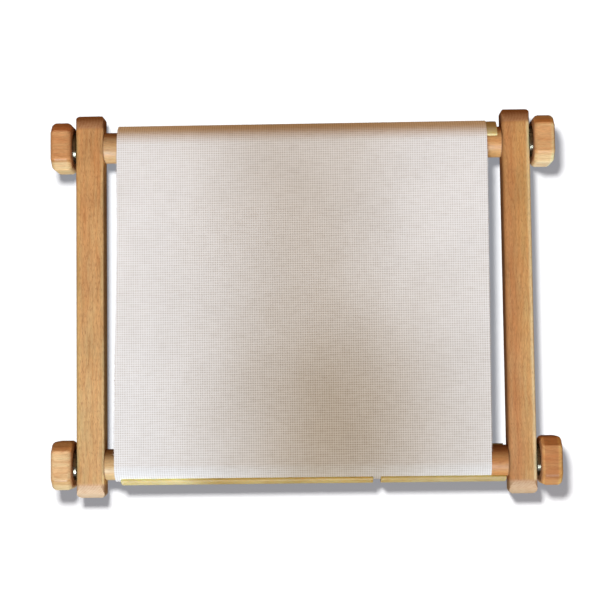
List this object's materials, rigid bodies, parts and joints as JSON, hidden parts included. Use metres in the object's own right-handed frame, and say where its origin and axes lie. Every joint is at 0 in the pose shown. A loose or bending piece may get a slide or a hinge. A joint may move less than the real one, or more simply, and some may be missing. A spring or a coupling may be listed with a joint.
{
  "type": "tapestry frame",
  "caption": "Wooden scroll frame for tapestry and cross stitch: side bars, turning rollers clamped by square knobs, and canvas held on the rollers by tube clips.",
  "frame": {"origin": "middle of the frame, on the surface that the four knobs rest on", "axes": "+X to the right along the rollers, +Y along the side bars towards the top roller, +Z out of the canvas's front, away from the surface that the frame lies on"},
  "size_m": [0.399, 0.305, 0.038],
  "materials": {
    "side_bar_wood": "bare smooth-sanded",
    "roller_wood": "bare smooth-sanded",
    "knob_wood": "bare smooth-sanded",
    "canvas_cloth": "stiffened evenweave",
    "clip_plastic": "satin moulded",
    "stud_steel": "bright zinc plated",
    "washer_steel": "bright zinc plated",
    "insert_brass": "as machined"
  },
  "bodies": {
    "frame": {"left_side_bar": "side_bar_wood", "right_side_bar": "side_bar_wood", "canvas": "canvas_cloth"},
    "top_roller_body": {"top_roller": "roller_wood", "top_left_stud": "stud_steel", "top_right_stud": "stud_steel", "top_long_clip": "clip_plastic", "top_short_clip": "clip_plastic", "canvas_top_wrap": "canvas_cloth"},
    "bottom_roller_body": {"bottom_roller": "roller_wood", "bottom_left_stud": "stud_steel", "bottom_right_stud": "stud_steel", "bottom_long_clip": "clip_plastic", "bottom_short_clip": "clip_plastic", "canvas_bottom_wrap": "canvas_cloth"},
    "top_left_washer_body": {"top_left_washer": "washer_steel"},
    "top_left_knob_body": {"top_left_knob": "knob_wood", "top_left_insert": "insert_brass"},
    "top_right_washer_body": {"top_right_washer": "washer_steel"},
    "top_right_knob_body": {"top_right_knob": "knob_wood", "top_right_insert": "insert_brass"},
    "bottom_left_washer_body": {"bottom_left_washer": "washer_steel"},
    "bottom_left_knob_body": {"bottom_left_knob": "knob_wood", "bottom_left_insert": "insert_brass"},
    "bottom_right_washer_body": {"bottom_right_washer": "washer_steel"},
    "bottom_right_knob_body": {"bottom_right_knob": "knob_wood", "bottom_right_insert": "insert_brass"}
  },
  "joints": [
    {"name": "top_roller_turn", "type": "hinge", "parent": "frame", "child": "top_roller_body", "pos_m": [0, 0.1265, 0.019], "axis": [1, 0, 0], "range_deg": [-35, 50]},
    {"name": "bottom_roller_turn", "type": "hinge", "parent": "frame", "child": "bottom_roller_body", "pos_m": [0, -0.1265, 0.019], "axis": [1, 0, 0], "range_deg": [-45, 64]},
    {"name": "top_left_knob_travel", "type": "slide", "parent": "frame", "child": "top_left_washer_body", "axis": [-1, 0, 0], "range_m": [0, 0.0101]},
    {"name": "top_left_knob_turn", "type": "hinge", "parent": "top_left_washer_body", "child": "top_left_knob_body", "pos_m": [-0.19125, 0.1265, 0.019], "axis": [-1, 0, 0], "range_deg": [0, 3600]},
    {"name": "top_right_knob_travel", "type": "slide", "parent": "frame", "child": "top_right_washer_body", "axis": [1, 0, 0], "range_m": [0, 0.0101]},
    {"name": "top_right_knob_turn", "type": "hinge", "parent": "top_right_washer_body", "child": "top_right_knob_body", "pos_m": [0.19125, 0.1265, 0.019], "axis": [1, 0, 0], "range_deg": [0, 3600]},
    {"name": "bottom_left_knob_travel", "type": "slide", "parent": "frame", "child": "bottom_left_washer_body", "axis": [-1, 0, 0], "range_m": [0, 0.0101]},
    {"name": "bottom_left_knob_turn", "type": "hinge", "parent": "bottom_left_washer_body", "child": "bottom_left_knob_body", "pos_m": [-0.19125, -0.1265, 0.019], "axis": [-1, 0, 0], "range_deg": [0, 3600]},
    {"name": "bottom_right_knob_travel", "type": "slide", "parent": "frame", "child": "bottom_right_washer_body", "axis": [1, 0, 0], "range_m": [0, 0.0101]},
    {"name": "bottom_right_knob_turn", "type": "hinge", "parent": "bottom_right_washer_body", "child": "bottom_right_knob_body", "pos_m": [0.19125, -0.1265, 0.019], "axis": [1, 0, 0], "range_deg": [0, 3600]}
  ],
  "couplings": [
    {"joint": "bottom_roller_turn", "follows": "top_roller_turn", "ratio": 1.2632},
    {"joint": "top_left_knob_travel", "follows": "top_left_knob_turn", "m_per_rad": 0.00015915},
    {"joint": "top_right_knob_travel", "follows": "top_right_knob_turn", "m_per_rad": 0.00015915},
    {"joint": "bottom_left_knob_travel", "follows": "bottom_left_knob_turn", "m_per_rad": 0.00015915},
    {"joint": "bottom_right_knob_travel", "follows": "bottom_right_knob_turn", "m_per_rad": 0.00015915}
  ]
}
